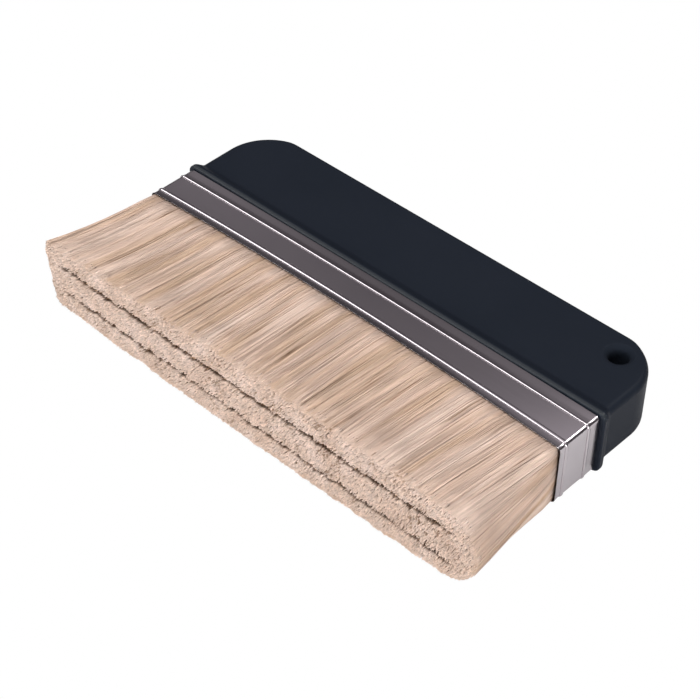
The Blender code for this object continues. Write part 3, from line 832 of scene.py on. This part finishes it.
def plant(piece_name, patches, **sizes):
    """Plants bristles on the patches and returns them as one plain mesh object."""
    base = patch_object(piece_name + "_patch", patches)
    modifier = base.modifiers.new("bristles", "NODES")
    modifier.node_group = bristles
    for item in bristles.interface.items_tree:
        if item.in_out == "INPUT" and item.name in sizes:
            modifier[item.identifier] = sizes[item.name]
    depsgraph = bpy.context.evaluated_depsgraph_get()
    mesh = bpy.data.meshes.new_from_object(
        base.evaluated_get(depsgraph), preserve_all_data_layers=True, depsgraph=depsgraph
    )
    mesh.name = piece_name
    for name in ("tip", "inward", "slit", "flare", "turn", "number", "across", "cell"):
        if name in mesh.attributes:
            mesh.attributes.remove(mesh.attributes[name])
    bpy.data.objects.remove(base)
    piece = bpy.data.objects.new(piece_name, mesh)
    scene.collection.objects.link(piece)
    return piece


def bristle_material(name, stains, spread, streaks_per_metre, streak_depth):
    """Hog bristle: broad stains and fine streaks that follow each bristle, with painted shade in the crevices
    and down in the slits.
    """
    material, tree, shader = new_material(name)

    def attribute(name, output="Fac"):
        return add_node(tree, "ShaderNodeAttribute", attribute_name=name).outputs[output]

    root_at = add_node(tree, "ShaderNodeSeparateXYZ", {"Vector": attribute("root", "Vector")}).outputs
    length = add_node(tree, "ShaderNodeMath", {0: attribute("along")}, {1: 0.006}, operation="MULTIPLY")
    lane = add_node(tree, "ShaderNodeCombineXYZ", {
        "X": root_at["X"], "Y": length.outputs["Value"], "Z": root_at["Z"],
    }).outputs["Vector"]
    broad = add_node(tree, "ShaderNodeTexNoise", {"Vector": lane}, {"Scale": 110, "Detail": 2.0})
    fine = add_node(tree, "ShaderNodeTexNoise", {"Vector": lane}, {"Scale": streaks_per_metre, "Detail": 2.0})
    stain = add_node(tree, "ShaderNodeValToRGB", {"Fac": broad.outputs["Fac"]})
    ramp = stain.color_ramp
    ramp.elements[0].position, ramp.elements[0].color = 0.34, stains[0]
    ramp.elements[1].position, ramp.elements[1].color = 0.66, stains[2]
    ramp.elements.new(0.5).color = stains[1]
    streak = add_node(tree, "ShaderNodeMapRange", {"Value": fine.outputs["Fac"]}, {
        "From Min": 0.3, "From Max": 0.7, "To Min": 1 - streak_depth, "To Max": 1 + streak_depth,
    })
    own = add_node(tree, "ShaderNodeMapRange", {"Value": attribute("shade")}, {
        "To Min": 1 - spread, "To Max": 1 + spread,
    })
    level = add_node(tree, "ShaderNodeMath", {0: streak.outputs["Result"], 1: own.outputs["Result"]},
                     operation="MULTIPLY")
    varied = add_node(tree, "ShaderNodeVectorMath", {
        0: stain.outputs["Color"], "Scale": level.outputs["Value"],
    }, operation="SCALE")
    # Painted shade: bristles in a crevice between hanks are darkened in their colour.
    crevice_shaded = add_node(tree, "ShaderNodeMix", {"Factor": attribute("crevice"), "A": varied.outputs["Vector"]},
                       data_type="RGBA")
    crevice_shaded.inputs["B"].default_value = (0.24, 0.145, 0.08, 1)
    # Painted shade: bristles beside a slit are darkened towards their roots.
    colour = add_node(tree, "ShaderNodeMix", {"Factor": attribute("painted_slit_shade"), "A": crevice_shaded.outputs["Result"]},
                      data_type="RGBA")
    colour.inputs["B"].default_value = (0.25, 0.15, 0.09, 1)
    shader.inputs["Roughness"].default_value = 0.5
    shader.inputs["Specular IOR Level"].default_value = 0.35
    tree.links.new(colour.outputs["Result"], shader.inputs["Base Color"])
    return material


bristle = bristle_material(
    "hog_bristle",
    stains=((0.52, 0.375, 0.27, 1), (0.565, 0.425, 0.34, 1), (0.61, 0.48, 0.40, 1)),
    spread=0.1, streaks_per_metre=480, streak_depth=0.12,
)
cut_bristle = bristle_material(
    "cut_hog_bristle",
    stains=((0.60, 0.46, 0.375, 1), (0.64, 0.505, 0.42, 1), (0.68, 0.55, 0.475, 1)),
    spread=0.22, streaks_per_metre=1100, streak_depth=0.22,
)

# The packed core: bristle colour, streaked darker than the skin as painted shade deep in the pack.
shaded_core_bristle, tree, shader = new_material("packed_bristle_shaded")
place = add_node(tree, "ShaderNodeTexCoord").outputs["Object"]
hank = add_node(tree, "ShaderNodeMapping", {"Vector": place}, {"Scale": (1, 0.03, 1)})
hank = hank.outputs["Vector"]
streak = add_node(tree, "ShaderNodeTexNoise", {"Vector": hank}, {"Scale": 900, "Detail": 3.0})
tone = add_node(tree, "ShaderNodeMix", {"Factor": streak.outputs["Fac"]}, data_type="RGBA")
tone.inputs["A"].default_value = (0.34, 0.20, 0.11, 1)
tone.inputs["B"].default_value = (0.66, 0.44, 0.29, 1)
shader.inputs["Roughness"].default_value = 0.7
tree.links.new(tone.outputs["Result"], shader.inputs["Base Color"])

bristles = bristle_tree()
CORE_INSET, CORE_END = 1.0, 0.965
SKIN_DEPTH = 1.0


def core_loops(word):
    """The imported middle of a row, which stops short of the tips and stands inside the skin on all sides."""
    loops = []
    across = np.linspace(-1, 1, 49) * (1 - CORE_INSET / PACK_HALF_WIDTH)
    low, high = row_section(word, across, True)
    inset = CORE_INSET / (high - low)
    under, over = row_points(word, across, inset), row_points(word, across, 1 - inset)
    for share in np.linspace(0, CORE_END, 12):
        shares = np.column_stack([share ** flare_power(across), *np.full((2, len(across)), share)])
        below, above = (root + (tip - root) * shares for root, tip in (under, over))
        loops.append([tuple(p) for p in below] + [tuple(p) for p in above[::-1]])
    return loops


for index, word in enumerate(ROWS):
    across = np.linspace(-1, 1, 241)
    through = np.linspace(0, 1, 17)
    low, high = row_section(word, across, True)
    edge = SKIN_DEPTH / float(np.mean(high - low))
    side_edge = SKIN_DEPTH / PACK_HALF_WIDTH
    skin = [
        grid_patch(word, (1 - side_edge, 1), through, (-1, 0, 0)),
        grid_patch(word, (-1, side_edge - 1), through, (1, 0, 0)),
    ]
    if word == "upper":
        skin.append(grid_patch(word, across, (1 - edge, 1), (0, 0, -1)))
    if word == "lower":
        skin.append(grid_patch(word, across, (0, edge), (0, 0, 1)))
    core = add_object(f"{word}_row_core", mesh_from_loops(f"{word}_row_core", core_loops(word)), shaded_core_bristle)
    long_ones = plant(f"{word}_row_skin", skin, **{
        "Bristles per square metre": 1.4e7, "Seed": 20 + index, "Radius": 0.00026, "Segments": 6,
        "Hank pull": 0.12, "Material": bristle,
    })
    cut_ends = plant(f"{word}_row_tips", [grid_patch(word, across, through, (0, 0, 0))], **{
        "Bristles per square metre": 5.0e6, "Seed": 40 + index, "Radius": 0.00029, "Segments": 1,
        "Share of length": 0.045, "Hank pull": 0.32, "Hanks per metre": 640.0, "Stray at tip": 0.0003,
        "Uneven length": 0.0005, "Bulge": 0.0, "Material": cut_bristle,
    })
    for piece in (core, long_ones, cut_ends):
        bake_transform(piece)
        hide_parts(f"bristle_root_{word}", f"bristle_row_{word}")
